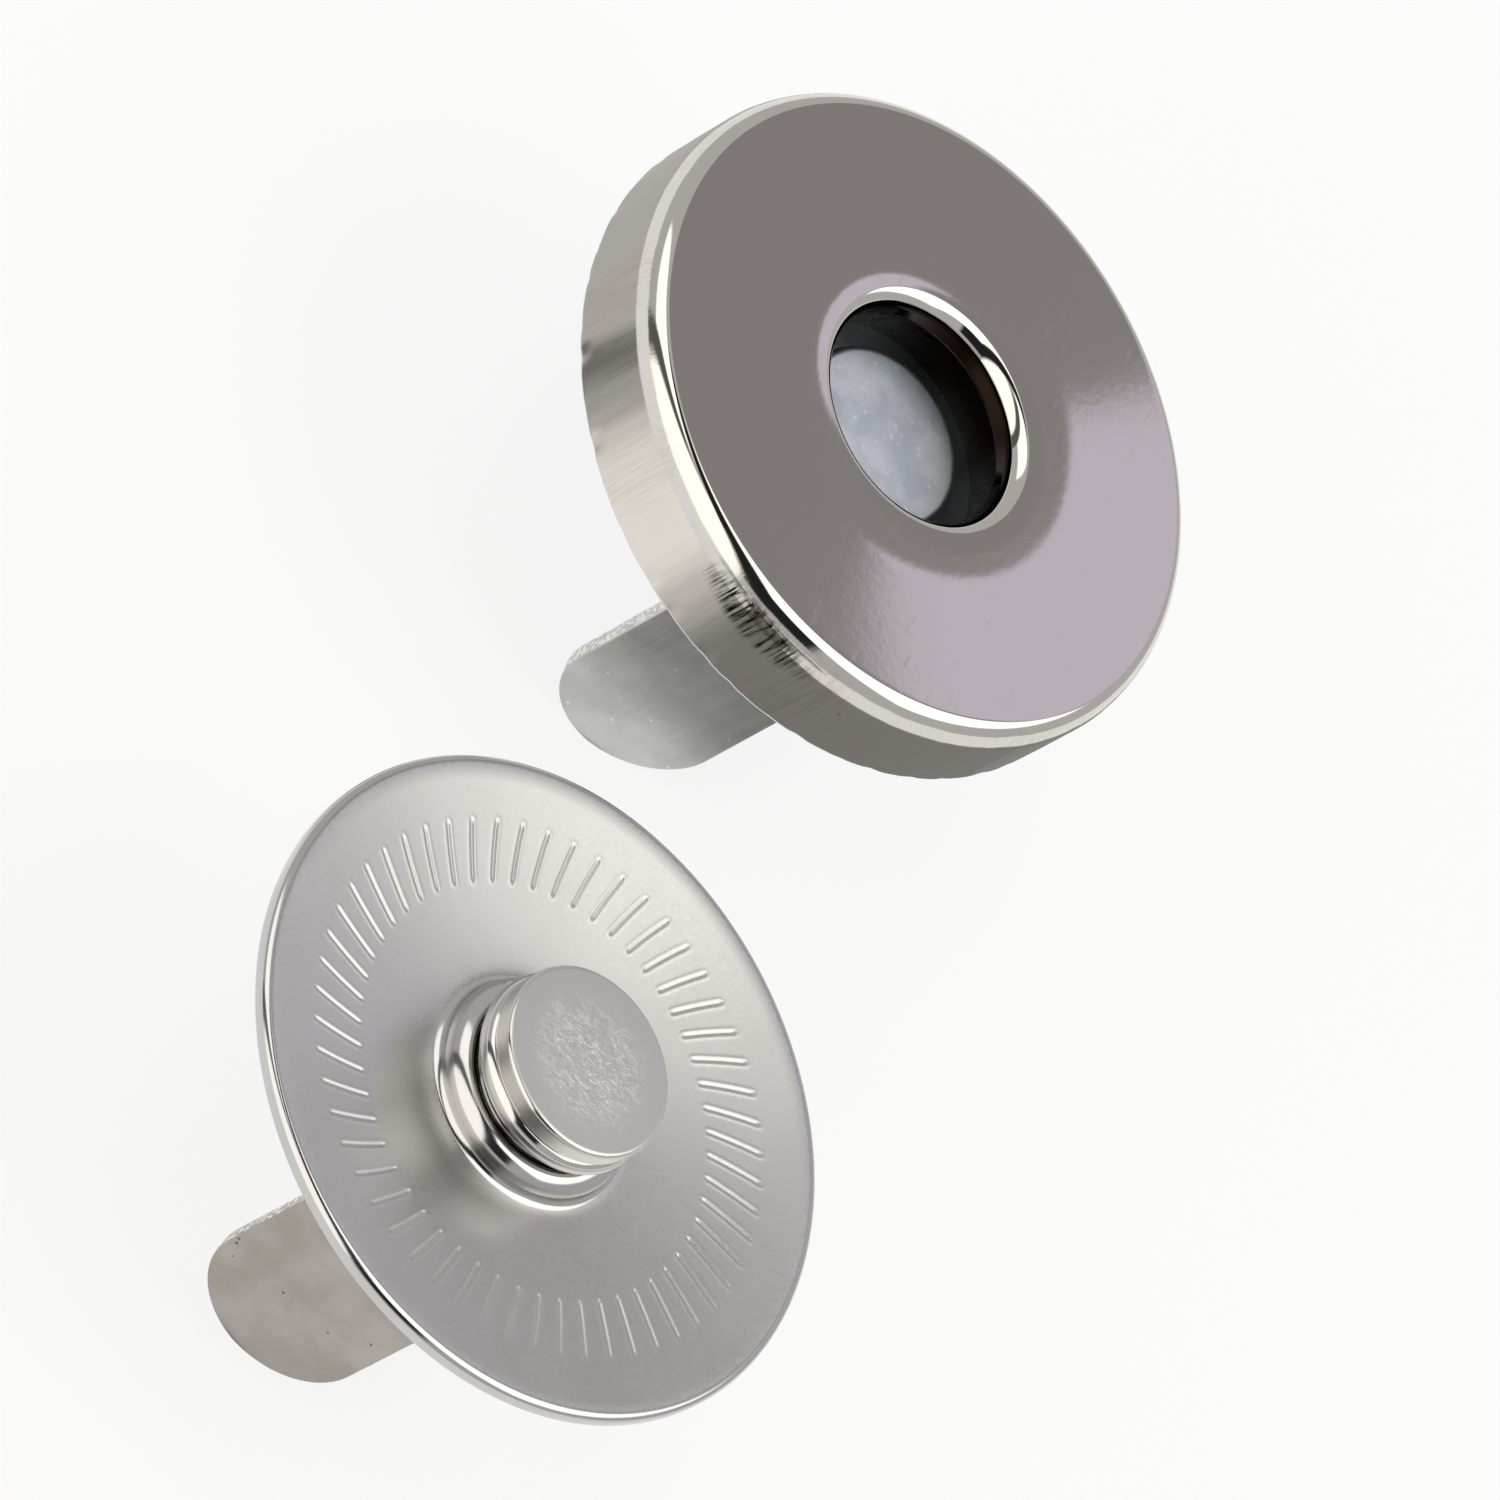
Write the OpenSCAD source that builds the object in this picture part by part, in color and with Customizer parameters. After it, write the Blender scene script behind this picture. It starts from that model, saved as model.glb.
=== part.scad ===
// Magnetic snap for bags and covers: a socket half that holds the magnet and a stud half
// that drops into it. Each half is fixed to its own layer by two prongs that are pushed
// through and bent over. The two halves lie side by side with their backs in one plane.

/* [Pair] */
// Distance between the axes of the two halves
pair_pitch = 24.2; // [22:0.1:40]
// Turn of the socket half's prong strip about its own axis
socket_turn = 5; // [-45:1:45]
// Turn of the stud half's prong strip about its own axis
stud_turn = -9; // [-45:1:45]

/* [Socket half] */
// Outer diameter of the drawn cover
cover_d = 18; // [16.5:0.1:19]
// Height of the cover from its crimped back edge to its face
cover_h = 3.25; // [3:0.1:4.5]
// Sheet thickness of the cover
cover_t = 0.3; // [0.2:0.02:0.36]
// Outside radius where the face turns down into the side wall
face_edge_r = 0.55; // [0.42:0.01:0.8]
// Width of the back edge that is turned in under the base plate
crimp_w = 1; // [0.8:0.05:1.2]
// Outside radius where the side wall turns in at the back
crimp_r = 0.35; // [0.32:0.01:0.6]
// Diameter of the hole in the face
hole_d = 6; // [5.8:0.05:6.3]
// Outside radius of the hole's rolled lip
lip_r = 0.4; // [0.38:0.01:0.55]
// Depth of the hole's lip below the face
lip_depth = 0.9; // [0.7:0.05:1.1]
// Thickness of the steel base plate
plate_t = 0.5; // [0.3:0.05:0.7]
// Depth of the pole's face below the face of the cover
pole_depth = 1.85; // [1.8:0.01:2]
// Diameter of the pole, which is the head of the rivet
pole_d = 5.1; // [4.6:0.05:5.2]
// Radius on the edge of the pole
pole_edge_r = 0.22; // [0.05:0.01:0.3]
// Length of a leg of the socket half below the plane of the material
socket_leg_l = 7.45; // [6:0.05:12]

/* [Stud half] */
// Diameter of the disc
disc_d = 17.3; // [15:0.1:18]
// Sheet thickness of the disc
disc_t = 0.45; // [0.35:0.01:0.55]
// Depth of the disc's middle below its rim
dish = 0.6; // [0:0.05:0.7]
// Radius on the upper edge of the disc
disc_edge_r = 0.2; // [0.05:0.01:0.25]
// Diameter of the round collar pressed up around the stud
collar_d = 5.7; // [5.5:0.05:5.9]
// Height of the collar above the middle of the disc
collar_h = 0.8; // [0.7:0.05:0.95]
// Radius on the inner and outer edges of the collar's top
collar_r = 0.48; // [0.4:0.01:0.5]
// Height of the stud's top above the rim of the disc
stud_h = 1.75; // [1.7:0.01:1.8]
// Diameter of the stud's cap
cap_d = 5; // [4.9:0.02:5.2]
// Radius on the edge of the cap's flat top
cap_edge_r = 0.12; // [0.05:0.01:0.25]
// Diameter of the rounded flange below the cap
flange_d = 5.2; // [5.1:0.02:5.4]
// Diameter of the neck under the flange
neck_d = 3.4; // [3.2:0.05:3.6]
// Open gap between the collar and the flange
undercut = 0.28; // [0.1:0.02:0.3]
// Length of a leg of the stud half below the plane of the material
stud_leg_l = 6; // [5:0.05:12]

/* [Prong strips and rivets] */
// Distance between the two legs of a strip, centre to centre
leg_pitch = 12.4; // [9:0.1:12.6]
// Width of a strip
leg_w = 4.55; // [4.3:0.05:5.2]
// Sheet thickness of a strip
strip_t = 0.5; // [0.4:0.05:0.6]
// Inside radius of the bend between web and leg
bend_r = 0.35; // [0.2:0.05:0.6]
// Diameter of a rivet's shank
shank_d = 3; // [2.4:0.1:3.2]
// Diameter of a rivet's peened tail
tail_d = 4.1; // [3.6:0.1:4.3]
// Height of a rivet's peened tail
tail_h = 0.35; // [0.2:0.05:0.6]

/* [Hidden] */
$fn = 96;

shank_gap = 0.02;                        // radial play of a shank in its plates
wall_gap = 0.04;                         // base plate to where the cover's wall turns in
magnet_gap = 0.4;                        // magnet to the inside of the cover
bore_gap = 0.15;                         // magnet's bore to the outside of the lip
collar_gap = 0.15;                       // collar's bore to the neck
cover_r = cover_d / 2;
hole_r = hole_d / 2;
plate_z = strip_t;                       // both backs rest on the webs of their strips
cover_z = plate_z - cover_t;             // crimped back edge
face_z = cover_z + cover_h;
magnet_z = plate_z + plate_t;
pole_z = face_z - pole_depth;
disc_z = strip_t + disc_t;               // upper face of the disc round the stud
rim_z = disc_z + dish;                   // upper face of the disc at its rim
stud_z = rim_z + stud_h;
collar_z = disc_z + collar_h;
flange_z0 = collar_z + undercut;
flange_z1 = flange_z0 + 0.5 * (stud_z - flange_z0);
groove_d = cap_d - 0.22;
groove_z1 = flange_z1 + 0.07;
flange_edge_r = 0.28;
foot_r = 0.2;                            // concave foot outside the collar
rim_w = 0.4;                             // flat ring at the rim of the disc
tail_edge_r = 0.45 * tail_h;             // lower edge of a tail, under half its height
stud_y = -pair_pitch;

nickel = [0.62, 0.60, 0.57];
nickel_dull = [0.66, 0.66, 0.65];
zinc = [0.66, 0.69, 0.72];
ferrite = [0.10, 0.09, 0.09];

// A flat-bottomed bar in the (radius, height) plane with one or two rounded outer corners
module round_bar(r0, r1, z0, z1, e_top, e_low) {
    translate([r0, z0 + e_low]) square([r1 - r0, z1 - z0 - e_top - e_low]);
    translate([r0, z0]) square([r1 - r0 - max(e_top, e_low), z1 - z0]);
    if (e_top > 0) {
        translate([r0, z0 + e_low]) square([r1 - r0 - e_top, z1 - z0 - e_low]);
        translate([r1 - e_top, z1 - e_top]) circle(r = e_top);
    }
    if (e_low > 0) {
        translate([r0, z0]) square([r1 - r0 - e_low, z1 - z0 - e_top]);
        translate([r1 - e_low, z0 + e_low]) circle(r = e_low);
    }
}

// Drawn sheet cover: face, side wall, edge crimped in at the back, lip rolled down at the hole
module socket_cover() {
    color(nickel) rotate_extrude() {
        difference() {
            round_bar(hole_r + lip_r, cover_r, cover_z, face_z, face_edge_r, crimp_r);
            round_bar(hole_r, cover_r - cover_t, plate_z, face_z - cover_t,
                      face_edge_r - cover_t, crimp_r - cover_t);
            translate([hole_r, cover_z - 1]) square([cover_r - crimp_w - hole_r, plate_z - cover_z + 1.01]);
        }
        // rolled lip and the short neck under it
        translate([hole_r + lip_r, face_z - lip_r]) intersection() {
            difference() {
                circle(r = lip_r);
                circle(r = lip_r - cover_t);
            }
            translate([-lip_r, 0]) square([lip_r, lip_r]);
        }
        translate([hole_r, face_z - lip_depth]) square([cover_t, lip_depth - lip_r]);
    }
}

// Ring magnet that fills the cover between the base plate and the face
module ring_magnet() {
    color(ferrite) rotate_extrude()
        translate([hole_r + cover_t + bore_gap, magnet_z])
            square([cover_r - cover_t - magnet_gap - hole_r - cover_t - bore_gap,
                    face_z - cover_t - magnet_z]);
}

// Steel disc that closes the back of the cover, held by the crimped edge
module base_plate() {
    color(zinc) rotate_extrude()
        translate([shank_d / 2 + shank_gap, plate_z])
            square([cover_r - crimp_r - wall_gap - shank_d / 2 - shank_gap, plate_t]);
}

// Peened tail of a rivet, below the web of its strip
module tail_section() {
    round_bar(0, tail_d / 2, -tail_h, 0, 0, tail_edge_r);
}

// Rivet whose head is the pole at the bottom of the socket
module pole_rivet() {
    color(zinc) rotate_extrude() {
        round_bar(0, pole_d / 2, magnet_z, pole_z, pole_edge_r, 0);
        translate([0, -0.01]) square([shank_d / 2, magnet_z + 0.02]);
        tail_section();
    }
}

// One strip folded to a U: a web under the half and two legs with full round ends
module prong_strip(turn, leg_l) {
    out_y = (leg_pitch + strip_t) / 2;
    out_r = bend_r + strip_t;
    in_y = out_y - strip_t;
    rotate([0, 0, turn]) difference() {
        intersection() {
            // side view of the U
            rotate([90, 0, 90]) translate([0, 0, -leg_w]) linear_extrude(height = 2 * leg_w)
                difference() {
                    union() {
                        translate([-out_y, -leg_l - 1]) square([2 * out_y, leg_l + 1 + strip_t - out_r]);
                        translate([-out_y + out_r, 0]) square([2 * (out_y - out_r), strip_t]);
                        for (s = [-1, 1]) translate([s * (out_y - out_r), strip_t - out_r]) circle(r = out_r);
                    }
                    union() {
                        translate([-in_y, -leg_l - 2]) square([2 * in_y, leg_l + 2 - bend_r]);
                        translate([-in_y + bend_r, -leg_l]) square([2 * (in_y - bend_r), leg_l]);
                        for (s = [-1, 1]) translate([s * (in_y - bend_r), -bend_r]) circle(r = bend_r);
                    }
                }
            // front view of a leg
            rotate([90, 0, 0]) translate([0, 0, -leg_pitch]) linear_extrude(height = 2 * leg_pitch) {
                translate([-leg_w / 2, -leg_l + leg_w / 2]) square([leg_w, leg_l - leg_w / 2 + strip_t + 1]);
                translate([0, -leg_l + leg_w / 2]) circle(r = leg_w / 2);
            }
        }
        translate([0, 0, -1]) cylinder(h = strip_t + 2, r = shank_d / 2 + shank_gap);
    }
}

module socket_prongs() {
    color(zinc) prong_strip(socket_turn, socket_leg_l);
}

// Sheet disc, slightly dished, with a rounded rim and a hollow collar pressed up round the stud
module stud_disc() {
    bore = neck_d / 2 + collar_gap;
    collar_w = collar_d / 2 - bore;
    top_r = min(collar_r, 0.49 * collar_w);
    cz = collar_z - top_r;
    hollow_r = 0.17 * collar_w;
    hollow_z = collar_z - 0.6 * collar_w;
    disc_r = disc_d / 2;
    cone_r0 = collar_d / 2 + foot_r + 0.1;
    cone_r1 = disc_r - rim_w;
    r0 = shank_d / 2 + shank_gap;
    color(nickel_dull) translate([0, stud_y, 0]) rotate_extrude() difference() {
        union() {
            polygon([[r0, strip_t], [cone_r0, strip_t], [cone_r1, strip_t + dish], [cone_r1, rim_z],
                     [cone_r0, disc_z], [r0, disc_z]]);
            round_bar(cone_r1 - 0.01, disc_r, strip_t + dish, rim_z, disc_edge_r, 0.1);
            for (c = [bore + top_r, collar_d / 2 - top_r]) translate([c, cz]) circle(r = top_r);
            translate([bore + top_r, cz - 0.01]) square([collar_w - 2 * top_r, top_r + 0.01]);
            translate([bore, strip_t + 0.05]) square([collar_w, cz - strip_t - 0.05]);
            translate([bore + collar_w / 2, strip_t + 0.1])
                square([collar_w / 2 + foot_r, disc_z + foot_r - strip_t - 0.1]);
        }
        translate([collar_d / 2 + foot_r, disc_z + foot_r]) circle(r = foot_r);
        // hollow that the collar leaves in the back of the sheet
        translate([bore + collar_w / 2, hollow_z]) circle(r = hollow_r);
        translate([bore + collar_w / 2 - hollow_r, strip_t - 1]) square([2 * hollow_r, hollow_z - strip_t + 1]);
    }
}

// Stud: cap with a rounded edge, fine groove, flange, neck, and a shank peened at the back
module stud_post() {
    color(nickel_dull) translate([0, stud_y, 0]) rotate_extrude() {
        round_bar(0, cap_d / 2, groove_z1, stud_z, cap_edge_r, 0.06);
        translate([0, flange_z1 - 0.01]) square([groove_d / 2, groove_z1 - flange_z1 + 0.02]);
        round_bar(0, flange_d / 2, flange_z0, flange_z1, flange_edge_r, flange_edge_r);
        translate([0, disc_z]) square([neck_d / 2, flange_z0 - disc_z + 0.01]);
        translate([0, -0.01]) square([shank_d / 2, disc_z + 0.02]);
        tail_section();
    }
}

module stud_prongs() {
    color(zinc) translate([0, stud_y, 0]) prong_strip(stud_turn, stud_leg_l);
}

socket_cover();
ring_magnet();
base_plate();
pole_rivet();
socket_prongs();
stud_disc();
stud_post();
stud_prongs();
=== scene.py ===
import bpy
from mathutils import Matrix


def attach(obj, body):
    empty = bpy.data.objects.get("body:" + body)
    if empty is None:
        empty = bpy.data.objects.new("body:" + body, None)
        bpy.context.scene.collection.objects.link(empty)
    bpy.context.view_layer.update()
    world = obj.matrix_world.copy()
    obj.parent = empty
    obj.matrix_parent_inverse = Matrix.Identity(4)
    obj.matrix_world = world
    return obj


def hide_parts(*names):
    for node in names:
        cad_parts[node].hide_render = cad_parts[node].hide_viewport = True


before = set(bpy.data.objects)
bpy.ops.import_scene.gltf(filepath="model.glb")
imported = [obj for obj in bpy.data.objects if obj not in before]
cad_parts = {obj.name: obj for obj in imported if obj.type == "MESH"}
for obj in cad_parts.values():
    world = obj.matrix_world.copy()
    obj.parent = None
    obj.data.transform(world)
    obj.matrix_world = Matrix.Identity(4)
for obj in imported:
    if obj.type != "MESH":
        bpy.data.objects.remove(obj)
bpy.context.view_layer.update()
import bmesh
import bpy
import numpy as np
from mathutils import Matrix

# --- Camera ---
# A long lens looks down on the pair from the front left, turned on its own axis, so that
# both halves lean to the upper right of the frame. Lengths in this file are millimetres.
MM = 0.001
view_right, view_down, view_ahead = (0.69026, 0.34503, 0.63599), (0.65557, -0.67019, -0.34793), (0.30619, 0.65711, -0.68881)
camera = bpy.data.objects.new("camera", bpy.data.cameras.new("camera"))
bpy.context.scene.collection.objects.link(camera)
turn = Matrix([[view_right[i], -view_down[i], -view_ahead[i]] for i in range(3)]).to_4x4()
camera.matrix_world = Matrix.Translation([v * MM for v in (-99.602, -226.656, 227.338)]) @ turn
camera.data.sensor_width, camera.data.lens = 36, 313.45
camera.data.clip_start, camera.data.clip_end = 0.01, 10
bpy.context.scene.camera = camera
bpy.context.scene.view_settings.view_transform = "Standard"

# --- White paper under the pair ---
# Matt white photo paper at the level of the socket half's legs. It shows white to the camera
# and in bright metal, and the rest of it stays plain paper, which keeps the pair's shadow.


def linear(code, share=1.0):
    """sRGB hex to linear: c / 12.92 up to 0.04045, above it ((c + 0.055) / 1.055) to the power 2.4, times share."""
    rgb = [int(code[i:i + 2], 16) / 255 for i in (1, 3, 5)]
    return [share * (c / 12.92 if c <= 0.04045 else ((c + 0.055) / 1.055) ** 2.4) for c in rgb] + [1.0]


def node(tree, kind, settings=(), links=(), **attributes):
    """Adds a node: attributes are set on it, settings are (socket, value), links are (socket, a node or its output)."""
    made = tree.nodes.new(kind)
    for key, value in attributes.items():
        setattr(made, key, value)
    for socket, value in settings:
        made.inputs[socket].default_value = value
    for socket, source in links:
        tree.links.new(source.outputs[0] if hasattr(source, "outputs") else source, made.inputs[socket])
    return made


def empty_material(name):
    """A material that holds its output node alone."""
    material = bpy.data.materials.new(name)
    material.use_nodes = True
    material.node_tree.nodes.clear()
    return material, material.node_tree, material.node_tree.nodes.new("ShaderNodeOutputMaterial")


def surface(name, points, faces, material):
    """A smooth-shaded mesh at the origin from points in millimetres and faces of point numbers."""
    mesh = bpy.data.meshes.new(name)
    mesh.from_pydata((np.asarray(points, float) * MM).tolist(), [], faces)
    mesh.polygons.foreach_set("use_smooth", [True] * len(mesh.polygons))
    mesh.materials.append(material)
    made = bpy.data.objects.new(name, mesh)
    bpy.context.scene.collection.objects.link(made)
    return made


white_paper, tree, out = empty_material("white paper")
fibre = node(tree, "ShaderNodeBsdfDiffuse", [("Color", linear("#f0f0f0"))])
glow = node(tree, "ShaderNodeEmission", [("Strength", 1.0)])
ray = node(tree, "ShaderNodeLightPath")
seen = node(tree, "ShaderNodeMath", [], [(0, ray.outputs["Is Camera Ray"]), (1, ray.outputs["Is Glossy Ray"])], operation="ADD")
seen = node(tree, "ShaderNodeMath", [], [(0, seen), (1, ray.outputs["Is Transmission Ray"])], operation="ADD")
share = node(tree, "ShaderNodeMath", [(1, 0.82)], [(0, seen)], operation="MULTIPLY", use_clamp=True)
mixed = node(tree, "ShaderNodeMixShader", [], [(0, share), (1, fibre), (2, glow)])
tree.links.new(mixed.outputs[0], out.inputs[0])
floor = surface("floor", [[-900, -900, -7.47], [900, -900, -7.47], [900, 900, -7.47], [-900, 900, -7.47]], [[0, 1, 2, 3]], white_paper)

# --- Grey cards on the paper ---
# The side wall of the bright cover mirrors the paper round it, so toned card lies there, out
# of the camera's sight: mid grey at the left, white in front and dark grey at the right.
grey_card, tree, out = empty_material("toned card round the socket half")
spot = node(tree, "ShaderNodeSeparateXYZ", [], [(0, node(tree, "ShaderNodeTexCoord").outputs["Object"])])
bearing = node(tree, "ShaderNodeMath", [], [(0, spot.outputs["Y"]), (1, spot.outputs["X"])], operation="ARCTAN2")
turned = node(tree, "ShaderNodeMapRange", [("From Min", -np.pi), ("From Max", np.pi), ("To Min", -0.5), ("To Max", 0.5)], [(0, bearing)])
turned = node(tree, "ShaderNodeMath", [(1, 1.0)], [(0, turned)], operation="FLOORED_MODULO")
tones = node(tree, "ShaderNodeValToRGB", [], [(0, turned)])
steps = [(0, 0.27), (25, 0.28), (50, 0.5), (100, 0.5), (186, 0.56), (190.5, 0.2), (196, 0.24), (199, 0.42), (205, 0.46), (209, 0.6),
         (214, 0.82), (222, 1.02), (246, 1.05), (253, 0.78), (260, 0.58), (266, 0.33), (274, 0.25)]
while len(tones.color_ramp.elements) < len(steps):
    tones.color_ramp.elements.new(0.5)
for element, (degrees, level) in zip(tones.color_ramp.elements, steps):
    element.position = degrees / 360
    element.color = (level, 0.985 * level, 0.96 * level, 1)
card_glow = node(tree, "ShaderNodeEmission", [("Strength", 1.0)], [("Color", tones)])
tree.links.new(card_glow.outputs[0], out.inputs[0])
ring = np.radians(np.arange(0, 360, 5))
n = len(ring)
card_points = np.vstack([np.stack([r * np.cos(ring), r * np.sin(ring), 0 * ring - 7.45], 1) for r in (9.4, 22)])
cards = surface("toned_cards", card_points, [[i, (i + 1) % n, n + (i + 1) % n, n + i] for i in range(n)], grey_card)
cards.visible_camera = cards.visible_diffuse = cards.visible_shadow = False

# --- Soft boxes ---
# The bright metal shows what stands round it: a large soft box at the left, one at the right,
# a black gap between them overhead, a dim wall behind the pair and a pale lilac one beside it.
room = bpy.data.worlds.new("studio")
bpy.context.scene.world = room
room.use_nodes = True
tree = room.node_tree
tree.nodes.clear()
direction = node(tree, "ShaderNodeTexCoord").outputs["Generated"]
lit = node(tree, "ShaderNodeRGB")
lit.outputs[0].default_value = linear("#ffffff", 0.55)


def panel(lit, colour, strength, *edges):
    """Lays a soft-edged panel over the sky. Each edge (axis, least, softness) is a smooth step of the direction's part along the axis, and the product of the steps mixes the panel's colour over what is there."""
    cover = None
    for axis, least, soft in edges:
        along = node(tree, "ShaderNodeVectorMath", [(1, axis)], [(0, direction)], operation="DOT_PRODUCT")
        step = node(tree, "ShaderNodeMapRange", [("From Min", least - soft), ("From Max", least + soft)], [(0, along.outputs["Value"])], interpolation_type="SMOOTHSTEP")
        cover = step if cover is None else node(tree, "ShaderNodeMath", [], [(0, cover), (1, step)], operation="MULTIPLY")
    mix = node(tree, "ShaderNodeMix", [("B", linear(colour, strength))], [("Factor", cover), ("A", lit)], data_type="RGBA")
    return mix.outputs["Result"]


east, north, up = np.eye(3)
mirror = np.array((99.6, 226.7, 223.9)) / 333.8
# left box, upper and front part, with a stand between them
lit = panel(lit, "#fffdf8", 1.6, (-east, 0.16, 0.02), (north, 0.03, 0.02), (-north, -0.52, 0.02), (up, 0.5, 0.04))
lit = panel(lit, "#fffcf6", 1.6, (-east, 0.16, 0.02), (-north, 0.2, 0.03), (up, -0.2, 0.03))
lit = panel(lit, "#ffffff", 0.12, (-east, 0.3, 0.02), (north, -0.17, 0.02), (-north, -0.02, 0.02), (up, -0.1, 0.05))
# black gap overhead and towards the front
lit = panel(lit, "#ffffff", 0.02, (east, -0.15, 0.02), (-east, -0.1, 0.02), (north, -0.3, 0.03), (-north, -0.42, 0.03), (up, 0.5, 0.05))
lit = panel(lit, "#ffffff", 0.02, (east, -0.12, 0.02), (-east, -0.36, 0.03), (-north, 0.27, 0.03), (up, 0.3, 0.05))
# right box
lit = panel(lit, "#fffdf8", 1.9, (east, 0.12, 0.02), (north, -0.42, 0.03), (-north, -0.5, 0.03), (up, 0.55, 0.04))
# dim wall where the flat faces mirror, and the lilac one that cuts into it
lit = panel(lit, "#fffafb", 0.295, (mirror, 0.988, 0.005))
lit = panel(lit, "#f4ecff", 0.76, (mirror, 0.975, 0.006), ((0.94, -0.342, 0), 0.0655, 0.0035), ((0.457, 0.889, 0), 0.709, 0.003))
sky = node(tree, "ShaderNodeBackground", [("Strength", 1.0)], [("Color", lit)])
plain = node(tree, "ShaderNodeBackground", [("Color", (1, 1, 1, 1)), ("Strength", 1.0)])
shown = node(tree, "ShaderNodeMixShader", [], [(0, node(tree, "ShaderNodeLightPath").outputs["Is Camera Ray"]), (1, sky), (2, plain)])
node(tree, "ShaderNodeOutputWorld", [], [(0, shown)])

# --- Socket cover ---
# A cup drawn from thin steel sheet and bright nickel plated. The press leaves its face very
# slightly crowned, rolls the hole's lip down and folds the back edge in under the base plate.


def arc(r, z, radius, start, end, n, tall=None):
    """n points of an ellipse's arc in the (radius, height) plane: centre (r, z), half width radius, half height tall."""
    a = np.radians(np.linspace(start, end, n))
    return np.stack([r + radius * np.cos(a), z + (tall or radius) * np.sin(a)], 1)


def line(p, q, n=2):
    """n points from p to q."""
    return np.linspace(p, q, n)


def closed_mesh(made):
    """Merges the doubled points of seams and poles, then turns every face outwards."""
    work = bmesh.new()
    work.from_mesh(made.data)
    bmesh.ops.remove_doubles(work, verts=work.verts, dist=2e-8)
    bmesh.ops.recalc_face_normals(work, faces=work.faces)
    work.to_mesh(made.data)
    work.free()
    return made


def revolve(name, material, strands, y=0.0, shape=None):
    """Carries a closed outline round the upright axis at y. strands are (turns, points) in order round the outline, and each point (r, z) becomes a ring of turns points r cos a, y + r sin a, z. Rings of equal turns are joined by squares and rings of n and 2n turns by three triangles a step. shape(r, a, z) may return a change of radius and height."""
    rings, turns = [], []
    for count, points in strands:
        for p in points:
            if not rings or np.abs(np.subtract(p, rings[-1])).sum() > 1e-6:
                rings.append((float(p[0]), float(p[1])))
                turns.append(count)
    grid, start, faces = [], np.concatenate([[0], np.cumsum(turns)]), []
    for (r, z), count in zip(rings, turns):
        a = 2 * np.pi * np.arange(count) / count
        radius, height = np.full(count, r), np.full(count, z)
        if shape is not None:
            dr, dz = shape(radius, a, height)
            radius, height = radius + dr, height + dz
        grid.append(np.stack([radius * np.cos(a), y + radius * np.sin(a), height], 1))
    for k in range(len(rings)):
        j = (k + 1) % len(rings)
        n, m = turns[k], turns[j]
        if rings[k][0] < 1e-9 and rings[j][0] < 1e-9:
            continue
        i = np.arange(min(n, m))
        if n == m:
            faces += np.stack([start[k] + i, start[k] + (i + 1) % n, start[j] + (i + 1) % n, start[j] + i], 1).tolist()
        else:
            few, many, c = (k, j, 2 * len(i)) if n < m else (j, k, 2 * len(i))
            f0, f1 = start[few] + i, start[few] + (i + 1) % len(i)
            m0, m1, m2 = start[many] + 2 * i, start[many] + 2 * i + 1, start[many] + (2 * i + 2) % c
            for corners in ((f0, m1, m0), (f0, f1, m1), (f1, m2, m1)):
                faces += np.stack(corners, 1).tolist()
    return closed_mesh(surface(name, np.vstack(grid), faces, material))


face_z, hole_r, lip_r = 3.45, 3.0, 0.4
crown_r = np.linspace(3.4, 8.45, 600)
onset = np.clip((crown_r - 4.4) / 0.75, 0, 1)
slope = 0.022 * onset ** 2 * (3 - 2 * onset) - 0.05 * np.clip((4.0 - crown_r) / 0.6, 0, 1)
fall = np.concatenate([[0], np.cumsum(slope[:-1] * np.diff(crown_r))])
fall -= fall.min()
across = np.concatenate([np.linspace(3.41, 4.3, 30), np.linspace(4.35, 8.45, 36)])
edge_z = face_z - fall[-1]
# The lip turns down from the face: its tilt grows as the 0.45th power of the way along it
tilt = np.pi / 2 * np.linspace(0, 1, 200) ** 0.45
in_r, in_z = np.cumsum(np.cos(tilt)), np.cumsum(np.sin(tilt))
rolled = np.linspace(199, 0, 24).astype(int)
lip = np.stack([hole_r + lip_r * (1 - in_r[rolled] / in_r[-1]), face_z - fall[0] - 0.5 * in_z[rolled] / in_z[-1]], 1)
cover_outline = np.vstack([
    line((hole_r, 2.55), (hole_r, 2.85 - fall[0]), 5), lip,
    np.stack([across, face_z - np.interp(across, crown_r, fall)], 1),
    arc(8.45, edge_z - 0.8, 0.55, 87.5, 0, 34, 0.8), line((9.0, edge_z - 0.85), (9.0, 1.5), 10), line((9.0, 1.4), (8.99, 0.62), 8),
    arc(8.65, 0.55, 0.34, 0, -90, 12, 0.35), line((8.6, 0.2), (8.0, 0.2), 5), line((8.0, 0.22), (8.0, 0.5), 3), line((8.05, 0.5), (8.65, 0.5), 3),
    line((8.7, 0.55), (8.7, 2.7), 4), arc(8.45, edge_z - 0.55, 0.25, 0, 90, 6), line((8.4, 3.15 - fall[-1]), (3.4, 3.15 - fall[0]), 4),
    line((3.3, 3.0 - fall[0]), (3.3, 2.55), 3)])


def press_marks(r, a, z):
    """Marks of the press: a few microns of uneven drawing down the side wall, from sines round the cup, and dents where the back edge was folded in, from clipped sines, deepest at the edge itself."""
    wall = np.clip((r - 8.8) / 0.15, 0, 1)
    draw = np.sin(23 * a + 0.5) + 0.8 * np.sin(41 * a + 1.1) + 0.6 * np.sin(67 * a + 2.0) + 0.5 * np.sin(103 * a)
    fold = np.clip((0.95 - z) / 0.5, 0, 1) * np.clip((r - 8.2) / 0.5, 0, 1)
    dents = np.clip(np.sin(47 * a) + 0.6 * np.sin(71 * a + 1) + 0.5 * np.sin(18 * a), 0, 1.6)
    return -0.0022 * wall * (draw + 2.9) - 0.018 * fold * dents, 0.0 * r


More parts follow.
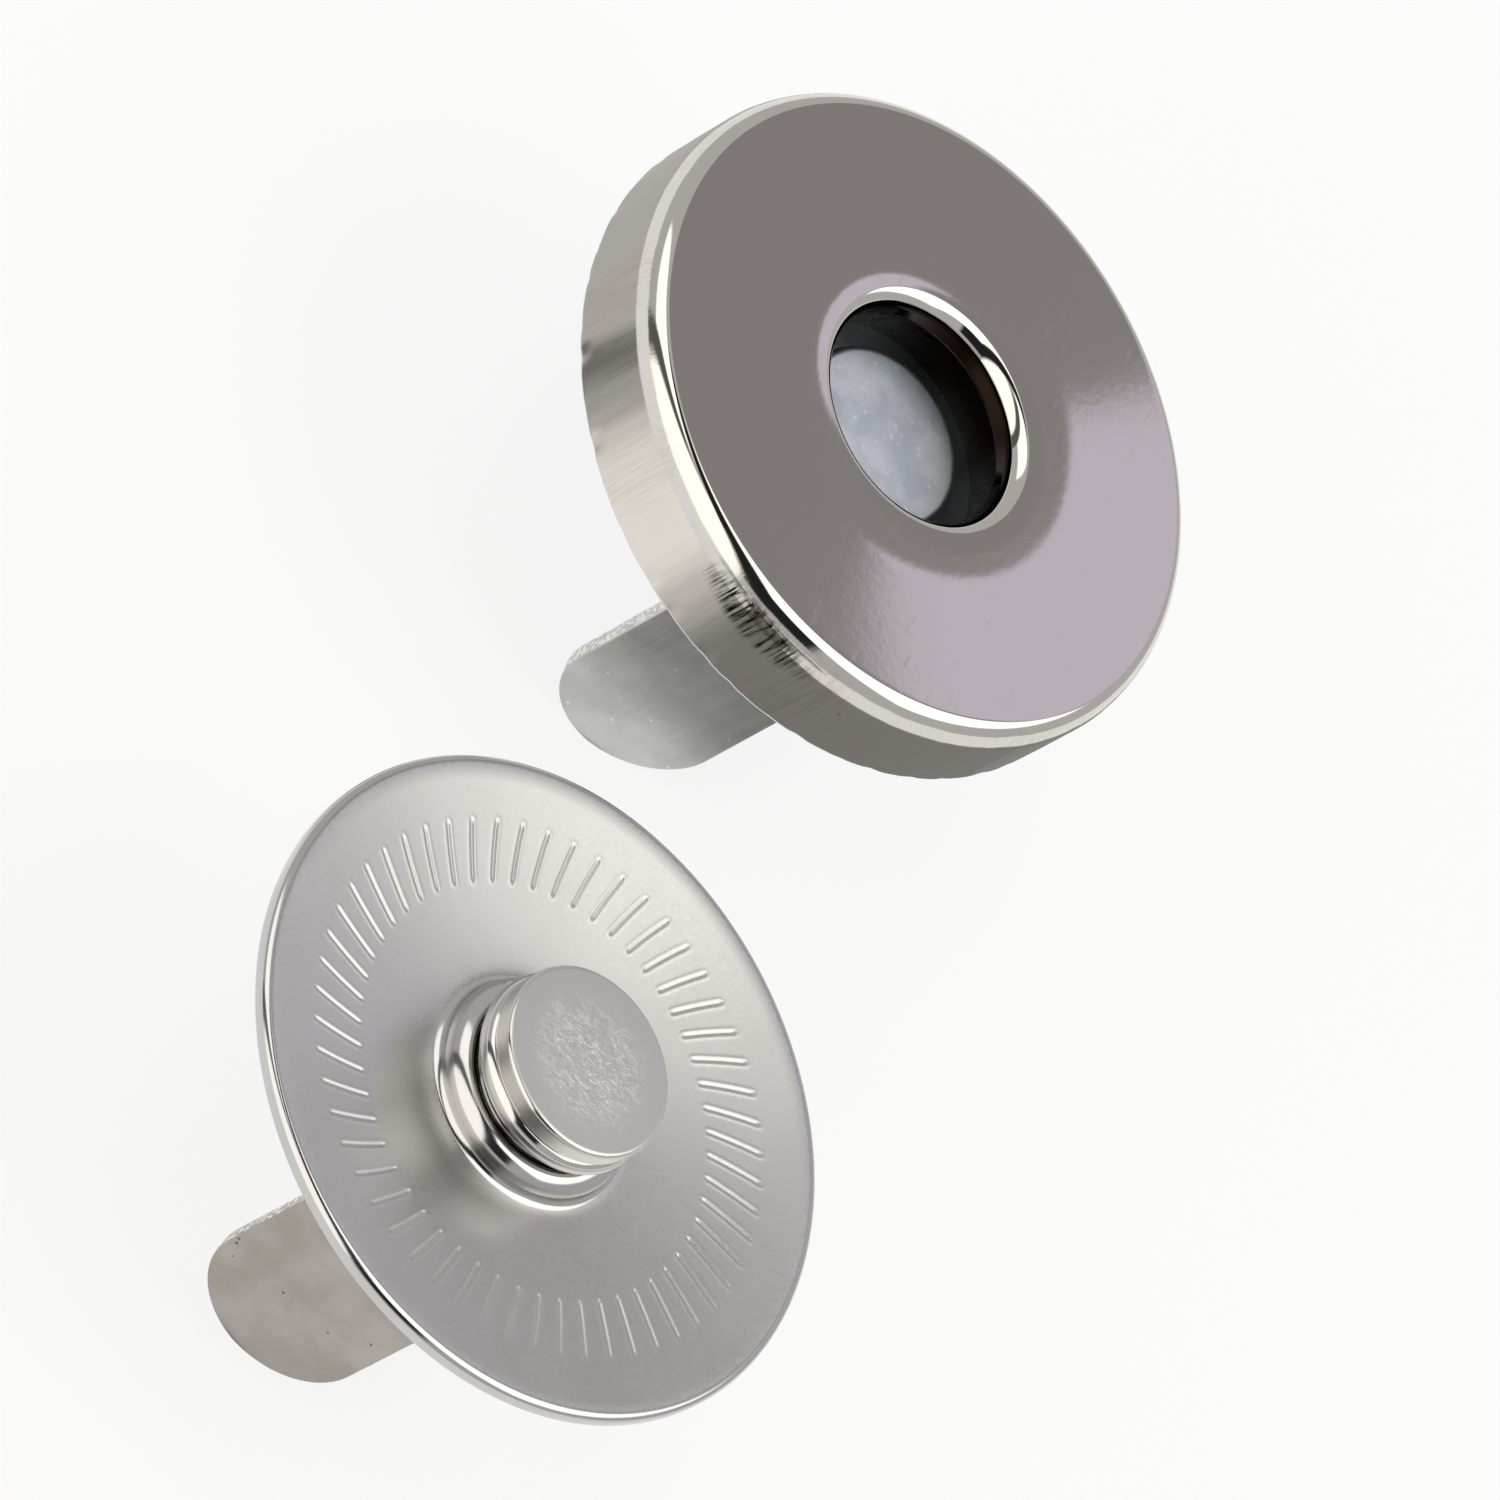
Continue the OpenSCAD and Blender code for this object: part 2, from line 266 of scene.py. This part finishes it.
bright_nickel, tree, out = empty_material("bright nickel plate on drawn steel")
# Nickel over a pressed, barely polished sheet: a clear, slightly warm mirror with a faint
# orange peel, hairlines drawn down the side wall and small pits. A near-black patch on the side
# wall is a painted dark reflection, and the hole wall is painted dark brown as shade.
place = node(tree, "ShaderNodeVectorMath", [(1, (1000, 1000, 1000))], [(0, node(tree, "ShaderNodeTexCoord").outputs["Object"])], operation="MULTIPLY")
spot = node(tree, "ShaderNodeSeparateXYZ", [], [(0, place)])
flat = node(tree, "ShaderNodeVectorMath", [(1, (1, 1, 0))], [(0, place)], operation="MULTIPLY")
radius = node(tree, "ShaderNodeVectorMath", [], [(0, flat)], operation="LENGTH").outputs["Value"]
wall = node(tree, "ShaderNodeMapRange", [("From Min", 8.7), ("From Max", 8.95)], [(0, radius)], interpolation_type="SMOOTHSTEP")
peel = node(tree, "ShaderNodeTexNoise", [("Scale", 3.2), ("Detail", 3.0), ("Roughness", 0.6)], [("Vector", place)])
drawn = node(tree, "ShaderNodeVectorMath", [(1, (1, 1, 0.05))], [(0, place)], operation="MULTIPLY")
hairs = node(tree, "ShaderNodeTexNoise", [("Scale", 9.0), ("Detail", 4.0), ("Roughness", 0.7)], [("Vector", drawn)])
rubbed = node(tree, "ShaderNodeMapping", [("Rotation", (0, 0, 0.6)), ("Scale", (7.0, 0.9, 1.0))], [("Vector", place)])
rubs = node(tree, "ShaderNodeTexNoise", [("Scale", 1.0), ("Detail", 2.0)], [("Vector", rubbed)])
rub = node(tree, "ShaderNodeMapRange", [("From Min", 0.64), ("From Max", 0.8)], [(0, rubs)])
comb = node(tree, "ShaderNodeMapRange", [("From Min", 0.44), ("From Max", 0.58)], [(0, hairs)])
areas = node(tree, "ShaderNodeTexNoise", [("Scale", 0.22), ("Detail", 1.0)], [("Vector", drawn)])
area = node(tree, "ShaderNodeMapRange", [("From Min", 0.48), ("From Max", 0.62), ("To Min", 0.04), ("To Max", 0.3)], [(0, areas)])
streak = node(tree, "ShaderNodeMath", [], [(0, comb), (1, wall)], operation="MULTIPLY")
streak = node(tree, "ShaderNodeMath", [], [(0, streak), (1, area)], operation="MULTIPLY")
# Painted dark reflection: near-black streaks that follow the drawn hairlines, painted on one spot of the side wall
# where the mirror shows a dark band.
dark_reflection_place = node(tree, "ShaderNodeVectorMath", [(1, (0.45, 0.45, 1.5)), (2, (0.5, 3.98, -3.75))], [(0, place)], operation="MULTIPLY_ADD")
painted_dark_reflection = node(tree, "ShaderNodeVectorMath", [], [(0, dark_reflection_place)], operation="LENGTH").outputs["Value"]
painted_dark_reflection = node(tree, "ShaderNodeMapRange", [("From Min", 1.0), ("From Max", 0.55)], [(0, painted_dark_reflection)], interpolation_type="SMOOTHSTEP")
painted_dark_reflection = node(tree, "ShaderNodeMath", [], [(0, painted_dark_reflection), (1, comb)], operation="MULTIPLY")
painted_dark_reflection = node(tree, "ShaderNodeMath", [], [(0, painted_dark_reflection), (1, wall)], operation="MULTIPLY")
pits = node(tree, "ShaderNodeTexVoronoi", [("Scale", 0.55), ("Randomness", 1.0)], [("Vector", place)])
pit = node(tree, "ShaderNodeMapRange", [("From Min", 0.02), ("From Max", 0.035), ("To Min", 0.7), ("To Max", 0.0)], [(0, pits.outputs["Distance"])])
# Painted shade: the hole's wall below the lip is painted dark brown, a darkening of the recess.
low = node(tree, "ShaderNodeMapRange", [("From Min", 3.2), ("From Max", 3.02)], [(0, spot.outputs["Z"])], interpolation_type="SMOOTHSTEP")
inner = node(tree, "ShaderNodeMapRange", [("From Min", 3.32), ("From Max", 3.12)], [(0, radius)])
hole = node(tree, "ShaderNodeMath", [], [(0, low), (1, inner)], operation="MULTIPLY")
tone = node(tree, "ShaderNodeMix", [("A", linear("#d9d5cf")), ("B", linear("#5a4a3a"))], [("Factor", pit)], data_type="RGBA")
tone = node(tree, "ShaderNodeMix", [("B", linear("#a8998a"))], [("Factor", streak), ("A", tone.outputs["Result"])], data_type="RGBA")
# Mixes in the painted dark reflection on the side wall.
tone = node(tree, "ShaderNodeMix", [("B", linear("#1c130d"))], [("Factor", painted_dark_reflection), ("A", tone.outputs["Result"])], data_type="RGBA")
# Mixes in the painted shade of the hole wall.
tone = node(tree, "ShaderNodeMix", [("B", linear("#33231a"))], [("Factor", hole), ("A", tone.outputs["Result"])], data_type="RGBA")
dull = node(tree, "ShaderNodeMapRange", [("To Min", 0.05), ("To Max", 0.12)], [(0, wall)])
dull = node(tree, "ShaderNodeMath", [(1, 0.06)], [(0, rub), (2, dull)], operation="MULTIPLY_ADD")
smooth = node(tree, "ShaderNodeBump", [("Strength", 1.0), ("Distance", 0.0004 * MM)], [("Height", peel)])
depth = node(tree, "ShaderNodeMath", [], [(0, hairs), (1, wall)], operation="MULTIPLY")
lines = node(tree, "ShaderNodeBump", [("Strength", 1.0), ("Distance", 0.0025 * MM)], [("Height", depth), ("Normal", smooth)])
body = node(tree, "ShaderNodeBsdfPrincipled", [("Metallic", 1.0)], [("Base Color", tone.outputs["Result"]), ("Roughness", dull), ("Normal", lines)])
tree.links.new(body.outputs[0], out.inputs[0])
cover = revolve("socket_cover_finished", bright_nickel, [(480, cover_outline)], 0.0, press_marks)
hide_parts("socket_cover")
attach(cover, "root")

# --- Ring magnet ---
# Pressed and sintered ferrite, ground flat, which fills the cover round the pole. It is near
# black and glossy like a dark stone, with a brown cast in its gloss.
ferrite, tree, out = empty_material("ground ferrite")
place = node(tree, "ShaderNodeVectorMath", [(1, (1000, 1000, 1000))], [(0, node(tree, "ShaderNodeTexCoord").outputs["Object"])], operation="MULTIPLY")
grain = node(tree, "ShaderNodeTexNoise", [("Scale", 6.0), ("Detail", 4.0)], [("Vector", place)])
gloss = node(tree, "ShaderNodeMapRange", [("From Min", 0.3), ("From Max", 0.7), ("To Min", 0.16), ("To Max", 0.4)], [(0, grain)])
tone = node(tree, "ShaderNodeMix", [("A", linear("#060403")), ("B", linear("#140c08"))], [("Factor", grain)], data_type="RGBA")
bump = node(tree, "ShaderNodeBump", [("Distance", 0.002 * MM)], [("Height", grain)])
body = node(tree, "ShaderNodeBsdfPrincipled", [("Specular IOR Level", 0.12)], [("Base Color", tone.outputs["Result"]), ("Roughness", gloss), ("Normal", bump)])
tree.links.new(body.outputs[0], out.inputs[0])
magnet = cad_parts["ring_magnet"]
magnet.data.materials.clear()
magnet.data.materials.append(ferrite)

# --- Base plate ---
# A blanked steel disc that closes the back of the cover, blue-white zinc plated. The plating
# is a soft grey sheen with faint crystal clouds.


def zinc_plate(name, shade, deep, dull, y=0.0):
    """Blue-white zinc on steel: the base colour drifts between two shades in clouds of 1 to 3 mm, roughness and a 1 micron bump follow a 0.1 mm grain, and sparse bright specks are crystal faces."""
    material, tree, out = empty_material(name)
    place = node(tree, "ShaderNodeVectorMath", [(1, (1000, 1000, 1000)), (2, (0, -y, 0))], [(0, node(tree, "ShaderNodeTexCoord").outputs["Object"])], operation="MULTIPLY_ADD")
    cloud = node(tree, "ShaderNodeTexNoise", [("Scale", 0.6), ("Detail", 3.0)], [("Vector", place)])
    grain = node(tree, "ShaderNodeTexNoise", [("Scale", 9.0), ("Detail", 3.0), ("Roughness", 0.6)], [("Vector", place)])
    specks = node(tree, "ShaderNodeTexVoronoi", [("Scale", 2.2)], [("Vector", place)])
    speck = node(tree, "ShaderNodeMapRange", [("From Min", 0.08), ("From Max", 0.2), ("To Min", 0.6), ("To Max", 0.0)], [(0, specks.outputs["Distance"])])
    drift = node(tree, "ShaderNodeMapRange", [("From Min", 0.35), ("From Max", 0.65)], [(0, cloud)], interpolation_type="SMOOTHSTEP")
    drift = node(tree, "ShaderNodeMath", [(2, -0.25)], [(0, grain), (1, grain), (2, drift)], operation="MULTIPLY_ADD", use_clamp=True)
    tone = node(tree, "ShaderNodeMix", [("A", linear(shade)), ("B", linear(deep))], [("Factor", drift)], data_type="RGBA")
    tone = node(tree, "ShaderNodeMix", [("B", linear("#f4f5f6"))], [("Factor", speck), ("A", tone.outputs["Result"])], data_type="RGBA")
    rough = node(tree, "ShaderNodeMapRange", [("From Min", 0.3), ("From Max", 0.7), ("To Min", dull - 0.05), ("To Max", dull + 0.06)], [(0, grain)])
    bump = node(tree, "ShaderNodeBump", [("Distance", 0.0012 * MM)], [("Height", grain)])
    body = node(tree, "ShaderNodeBsdfPrincipled", [("Metallic", 1.0)], [("Base Color", tone.outputs["Result"]), ("Roughness", rough), ("Normal", bump)])
    tree.links.new(body.outputs[0], out.inputs[0])
    return material


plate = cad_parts["base_plate"]
plate.data.materials.clear()
plate.data.materials.append(zinc_plate("blue-white zinc on blanked steel", "#c4c9ce", "#b2b8be", 0.34))

# --- Pole rivet ---
# A steel rivet, headed and zinc plated. Its flat head is the pole at the bottom of the hole,
# and its tail is peened over under the web of the strip.
pole_outline = np.vstack([
    line((0, 1.6), (2.3, 1.6), 14), arc(2.33, 1.38, 0.22, 90, 0, 12), line((2.55, 1.36), (2.55, 1.0), 4), line((2.5, 1.0), (1.5, 1.0), 4),
    line((1.5, 0.98), (1.5, 0.0), 4), line((1.55, 0.0), (2.05, 0.0), 4), line((2.05, -0.02), (2.05, -0.15)), arc(1.89, -0.19, 0.16, -5, -90, 8),
    line((1.8, -0.35), (0, -0.35), 10)])
pole = revolve("pole_rivet_finished", zinc_plate("blue-white zinc on the rivet head", "#dfe4ec", "#c0c7d1", 0.4), [(256, pole_outline)])
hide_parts("pole_rivet")
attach(pole, "root")

# --- Stud disc ---
# Thin steel sheet, blanked, slightly dished and nickel plated, with a collar pressed up round
# the stud. A ring of plain slanted strokes is stamped into its upper face.
disc_y = -24.2


def bowl(r, z):
    """Height of the dished sheet: z plus 0.6 mm times the 1.25th power of the way from the collar's foot to the rim."""
    return z + 0.6 * np.clip((r - 3.15) / 5.1, 0, 1) ** 1.25


foot = np.linspace(3.25, 5.2, 10)
marked = np.linspace(5.24, 7.2, 34)
outer = np.linspace(7.25, 8.45, 6)
under = np.linspace(8.25, 3.15, 10)
inner_strand = np.vstack([
    line((1.52, 0.95), (1.85, 0.95), 3), line((1.85, 0.97), (1.85, 1.25), 4), arc(2.35, 1.25, 0.5, 180, 0, 34),
    line((2.85, 1.24), (2.85, 1.18), 2), arc(3.1, 1.16, 0.25, 180, 262, 9, 0.21), np.stack([foot, bowl(foot, 0.95)], 1)])
ring_strand = np.stack([marked, bowl(marked, 0.95)], 1)
rim_strand = np.vstack([np.stack([outer, bowl(outer, 0.95)], 1), arc(8.45, 1.35, 0.2, 88, 0, 12), line((8.65, 1.3), (8.65, 1.2), 2), arc(8.55, 1.2, 0.1, 0, -90, 5)])
back_strand = np.vstack([line((8.5, 1.1), (8.25, 1.1), 3), np.stack([under, bowl(under, 0.5)], 1), line((3.1, 0.5), (1.52, 0.5), 5), line((1.52, 0.55), (1.52, 0.9), 3)])


def stroke_ring(r, a, z):
    """A ring of slanted strokes pressed into the sheet: the distance from the nearest stroke's middle line, across it and past its ends, gives a round-bottomed groove 0.024 mm deep with a low burr beside it."""
    count, middle, half, width = 54, 6.22, 0.72, 0.042
    phase = (a * count / (2 * np.pi) + 0.3 * (r - middle)) % 1.0 - 0.5
    distance = np.hypot(phase * 2 * np.pi * r / count * 0.93, np.clip(np.abs(r - middle) - half, 0, None))
    groove = 0.006 * np.exp(-((distance - 2.1 * width) / width) ** 2) - 0.024 * np.exp(-(distance / width) ** 2)
    upper = (r > 5.2) & (r < 7.25) & (z > bowl(r, 0.8))
    return 0.0 * r, np.where(upper, groove, 0.0)


satin_nickel, tree, out = empty_material("satin nickel plate on stamped sheet")
# Dull nickel on rolled sheet: an even pale grey with a soft sheen, brighter and clearer
# where the rim and the collar were burnished by the tool.
place = node(tree, "ShaderNodeVectorMath", [(1, (1000, 1000, 1000)), (2, (0, -disc_y, 0))], [(0, node(tree, "ShaderNodeTexCoord").outputs["Object"])], operation="MULTIPLY_ADD")
flat = node(tree, "ShaderNodeVectorMath", [(1, (1, 1, 0))], [(0, place)], operation="MULTIPLY")
radius = node(tree, "ShaderNodeVectorMath", [], [(0, flat)], operation="LENGTH").outputs["Value"]
rim = node(tree, "ShaderNodeMapRange", [("From Min", 8.35), ("From Max", 8.5)], [(0, radius)], interpolation_type="SMOOTHSTEP")
collar = node(tree, "ShaderNodeMapRange", [("From Min", 3.15), ("From Max", 2.95)], [(0, radius)], interpolation_type="SMOOTHSTEP")
worked = node(tree, "ShaderNodeMath", [], [(0, rim), (1, collar)], operation="MAXIMUM")
cloud = node(tree, "ShaderNodeTexNoise", [("Scale", 0.5), ("Detail", 3.0)], [("Vector", place)])
grain = node(tree, "ShaderNodeTexNoise", [("Scale", 12.0), ("Detail", 3.0), ("Roughness", 0.6)], [("Vector", place)])
tone = node(tree, "ShaderNodeMix", [("A", linear("#cecdcc")), ("B", linear("#c4c3c1"))], [("Factor", cloud)], data_type="RGBA")
sheen = node(tree, "ShaderNodeMapRange", [("From Min", 0.3), ("From Max", 0.7), ("To Min", 0.27), ("To Max", 0.36)], [(0, grain)])
rough = node(tree, "ShaderNodeMix", [("B", 0.13)], [("Factor", worked), ("A", sheen)], data_type="FLOAT")
bump = node(tree, "ShaderNodeBump", [("Distance", 0.0005 * MM)], [("Height", grain)])
body = node(tree, "ShaderNodeBsdfPrincipled", [("Metallic", 1.0)], [("Base Color", tone.outputs["Result"]), ("Roughness", rough), ("Normal", bump)])
tree.links.new(body.outputs[0], out.inputs[0])
disc = revolve("stud_disc_finished", satin_nickel, [(360, inner_strand), (720, ring_strand[:1]), (1440, ring_strand[1:-1]), (720, ring_strand[-1:]), (720, rim_strand), (360, back_strand)], disc_y, stroke_ring)
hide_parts("stud_disc")
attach(disc, "root")

# --- Stud ---
# A turned steel stud, nickel plated: flat cap, fine groove, round flange and a neck in the
# collar's bore, with its shank peened at the back. Handling has scratched the cap.
stud_outline = np.vstack([
    line((0, 3.3), (2.36, 3.29), 20), arc(2.38, 3.17, 0.12, 88, 0, 10), line((2.5, 3.15), (2.5, 2.82), 6), arc(2.44, 2.79, 0.06, 0, -80, 5),
    line((2.4, 2.73), (2.39, 2.68), 3), arc(2.32, 2.35, 0.28, 72, -90, 26, 0.32), line((2.3, 2.03), (1.72, 2.03), 4), line((1.7, 2.01), (1.7, 0.97), 5),
    line((1.68, 0.95), (1.5, 0.95), 3), line((1.5, 0.9), (1.5, 0.0), 4), line((1.55, 0.0), (2.05, 0.0), 4), line((2.05, -0.02), (2.05, -0.15)),
    arc(1.89, -0.19, 0.16, -5, -90, 8), line((1.8, -0.35), (0, -0.35), 10)])
turned_nickel, tree, out = empty_material("nickel plate on the turned stud")
place = node(tree, "ShaderNodeVectorMath", [(1, (1000, 1000, 1000)), (2, (0, -disc_y, 0))], [(0, node(tree, "ShaderNodeTexCoord").outputs["Object"])], operation="MULTIPLY_ADD")
spot = node(tree, "ShaderNodeSeparateXYZ", [], [(0, place)])
top = node(tree, "ShaderNodeMapRange", [("From Min", 3.24), ("From Max", 3.28)], [(0, spot.outputs["Z"])])
lathe = node(tree, "ShaderNodeVectorMath", [(1, (0.1, 0.1, 14.0))], [(0, place)], operation="MULTIPLY")
rings = node(tree, "ShaderNodeTexNoise", [("Scale", 1.0), ("Detail", 3.0)], [("Vector", lathe)])
middle = node(tree, "ShaderNodeVectorMath", [(1, (1, 1, 0))], [(0, place)], operation="MULTIPLY")
middle = node(tree, "ShaderNodeVectorMath", [], [(0, middle)], operation="LENGTH").outputs["Value"]
worn = node(tree, "ShaderNodeMapRange", [("From Min", 2.2), ("From Max", 0.6)], [(0, middle)], interpolation_type="SMOOTHSTEP")
rubbed = node(tree, "ShaderNodeMapping", [("Rotation", (0, 0, 1.1)), ("Scale", (3.0, 12.0, 1.0))], [("Vector", place)])
rubs = node(tree, "ShaderNodeTexNoise", [("Scale", 1.0), ("Detail", 5.0), ("Roughness", 0.75), ("Distortion", 1.6)], [("Vector", rubbed)])
scratch = node(tree, "ShaderNodeMapRange", [("From Min", 0.52), ("From Max", 0.62)], [(0, rubs)])
scratch = node(tree, "ShaderNodeMath", [], [(0, scratch), (1, top)], operation="MULTIPLY")
scratch = node(tree, "ShaderNodeMath", [], [(0, scratch), (1, worn)], operation="MULTIPLY")
tone = node(tree, "ShaderNodeMix", [("A", linear("#d0cecb")), ("B", linear("#ece9e4"))], [("Factor", scratch)], data_type="RGBA")
dull = node(tree, "ShaderNodeMapRange", [("To Min", 0.1), ("To Max", 0.3)], [(0, top)])
bump = node(tree, "ShaderNodeBump", [("Distance", 0.0004 * MM)], [("Height", rings)])
marks = node(tree, "ShaderNodeBump", [("Distance", 0.0025 * MM)], [("Height", scratch), ("Normal", bump)])
body = node(tree, "ShaderNodeBsdfPrincipled", [("Metallic", 1.0)], [("Base Color", tone.outputs["Result"]), ("Roughness", dull), ("Normal", marks)])
tree.links.new(body.outputs[0], out.inputs[0])
stud = revolve("stud_post_finished", turned_nickel, [(384, stud_outline)], disc_y)
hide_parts("stud_post")
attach(stud, "root")

# --- Prong strips ---
# One strip of soft steel under each half, blanked with full round ends and folded to a U. Its
# flat sides keep the mill's finish, and its sheared edges are brighter and coarse.


def prong_strip(name, material, y, degrees, length):
    """A strip bent to a U. Its path runs up a leg, round a bend, along the web and down the other leg; across the path lies a bar 0.5 mm thick with rounded edges, whose half width follows a circle at each round end. The attribute sheared is 1 on the cut edges and 0 on the flat sides."""
    t, half, reach, bend, edge = 0.5, 2.275, 6.2, 0.6, 0.08
    leg, curve, web = length + t / 2 - bend, bend * np.pi / 2, 2 * (reach - bend)
    whole = 2 * leg + 2 * curve + web
    tip = half * (1 - np.cos(np.linspace(0, np.pi / 2, 30)))
    half_way = np.concatenate([tip, np.linspace(half, leg, 12)[1:], leg + np.linspace(0, curve, 14)[1:], leg + curve + np.linspace(0, web / 2, 8)[1:]])
    s = np.concatenate([half_way, whole - half_way[-2::-1]])
    wide = np.sqrt(np.clip(half ** 2 - np.clip(half - np.minimum(s, whole - s), 0, None) ** 2, 0, None))
    side = np.where(s < whole / 2, -1.0, 1.0)
    from_end = np.minimum(s, whole - s)
    angle = np.clip((from_end - leg) / bend, 0, np.pi / 2)
    py = side * (reach - bend + bend * np.cos(angle) - np.clip(from_end - leg - curve, 0, None))
    pz = np.minimum(from_end, leg) - length + bend * np.sin(angle)
    out_y, out_z = side * np.cos(angle), np.sin(angle)
    q = np.radians(np.linspace(0, 90, 5))
    lap = np.stack([np.cos(q), np.sin(q)], 1) * edge
    u = np.concatenate([lap[:, 0], -lap[::-1, 0], -lap[:, 0], lap[::-1, 0]])
    v = np.concatenate([lap[:, 1], lap[::-1, 1], -lap[:, 1], -lap[::-1, 1]]) + np.repeat([1, 1, -1, -1], 5) * (t / 2 - edge)
    sign = np.repeat([1, -1, -1, 1], 5)
    over = sign * np.clip(wide[:, None] - edge, 0, None) + u * np.clip(wide[:, None] / edge, 0, 1)
    a = np.radians(degrees)
    yy = py[:, None] + out_y[:, None] * v
    points = np.stack([over * np.cos(a) - yy * np.sin(a), over * np.sin(a) + yy * np.cos(a) + y, pz[:, None] + out_z[:, None] * v], -1)
    n, m = over.shape
    i, j = np.meshgrid(np.arange(n - 1), np.arange(m), indexing="ij")
    faces = np.stack([i * m + j, i * m + (j + 1) % m, (i + 1) * m + (j + 1) % m, (i + 1) * m + j], -1).reshape(-1, 4).tolist()
    made = surface(name, points.reshape(-1, 3), faces, material)
    cut = np.tile(np.abs(v) <= t / 2 - 0.3 * edge, n)
    made.data.attributes.new("sheared", "FLOAT", "POINT").data.foreach_set("value", cut.astype(float))
    return closed_mesh(made)


def strip_metal(name, shade, deep, fleck, y):
    """Plated strip: clouds and sparse flecks of a third shade in the base colour, long faint rolling lines in a satin
    roughness and a fine bump, and coarse bright tears on the sheared edges from a noise.
    """
    material, tree, out = empty_material(name)
    place = node(tree, "ShaderNodeVectorMath", [(1, (1000, 1000, 1000)), (2, (0, -y, 0))], [(0, node(tree, "ShaderNodeTexCoord").outputs["Object"])], operation="MULTIPLY_ADD")
    cloud = node(tree, "ShaderNodeTexNoise", [("Scale", 0.7), ("Detail", 4.0)], [("Vector", place)])
    rolled = node(tree, "ShaderNodeVectorMath", [(1, (9.0, 0.6, 0.6))], [(0, place)], operation="MULTIPLY")
    roll = node(tree, "ShaderNodeTexNoise", [("Scale", 1.0), ("Detail", 3.0)], [("Vector", rolled)])
    grain = node(tree, "ShaderNodeTexNoise", [("Scale", 8.0), ("Detail", 3.0)], [("Vector", place)])
    cut = node(tree, "ShaderNodeAttribute", attribute_name="sheared").outputs["Fac"]
    torn = node(tree, "ShaderNodeMapRange", [("From Min", 0.45), ("From Max", 0.6)], [(0, grain)])
    torn = node(tree, "ShaderNodeMath", [], [(0, torn), (1, cut)], operation="MULTIPLY")
    specks = node(tree, "ShaderNodeTexVoronoi", [("Scale", 1.6)], [("Vector", place)])
    speck = node(tree, "ShaderNodeMapRange", [("From Min", 0.05), ("From Max", 0.09), ("To Min", 0.8), ("To Max", 0.0)], [(0, specks.outputs["Distance"])])
    drift = node(tree, "ShaderNodeMapRange", [("From Min", 0.35), ("From Max", 0.65)], [(0, cloud)], interpolation_type="SMOOTHSTEP")
    tone = node(tree, "ShaderNodeMix", [("A", linear(shade)), ("B", linear(deep))], [("Factor", drift)], data_type="RGBA")
    tone = node(tree, "ShaderNodeMix", [("B", linear(fleck))], [("Factor", speck), ("A", tone.outputs["Result"])], data_type="RGBA")
    tone = node(tree, "ShaderNodeMix", [("B", linear("#f2f1ee"))], [("Factor", torn), ("A", tone.outputs["Result"])], data_type="RGBA")
    rough = node(tree, "ShaderNodeMapRange", [("From Min", 0.3), ("From Max", 0.7), ("To Min", 0.32), ("To Max", 0.42)], [(0, roll)])
    height = node(tree, "ShaderNodeMath", [(1, 0.5)], [(0, torn), (2, roll)], operation="MULTIPLY_ADD")
    bump = node(tree, "ShaderNodeBump", [("Distance", 0.002 * MM)], [("Height", height)])
    body = node(tree, "ShaderNodeBsdfPrincipled", [("Metallic", 1.0)], [("Base Color", tone.outputs["Result"]), ("Roughness", rough), ("Normal", bump)])
    tree.links.new(body.outputs[0], out.inputs[0])
    return material


zinc_strip = strip_metal("blue-white zinc on rolled strip", "#c9cac7", "#babbb9", "#e9ebea", 0.0)
warm_strip = strip_metal("dull nickel on rolled strip", "#b1aca5", "#a49e97", "#4f463d", disc_y)
for name, material, y, degrees, length, slot in (("socket_prongs", zinc_strip, 0.0, 5, 7.45, "zinc_strip"), ("stud_prongs", warm_strip, disc_y, -9, 6.0, "nickel_strip")):
    strip = prong_strip(name + "_finished", material, y, degrees, length)
    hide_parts(name)
    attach(strip, "root")
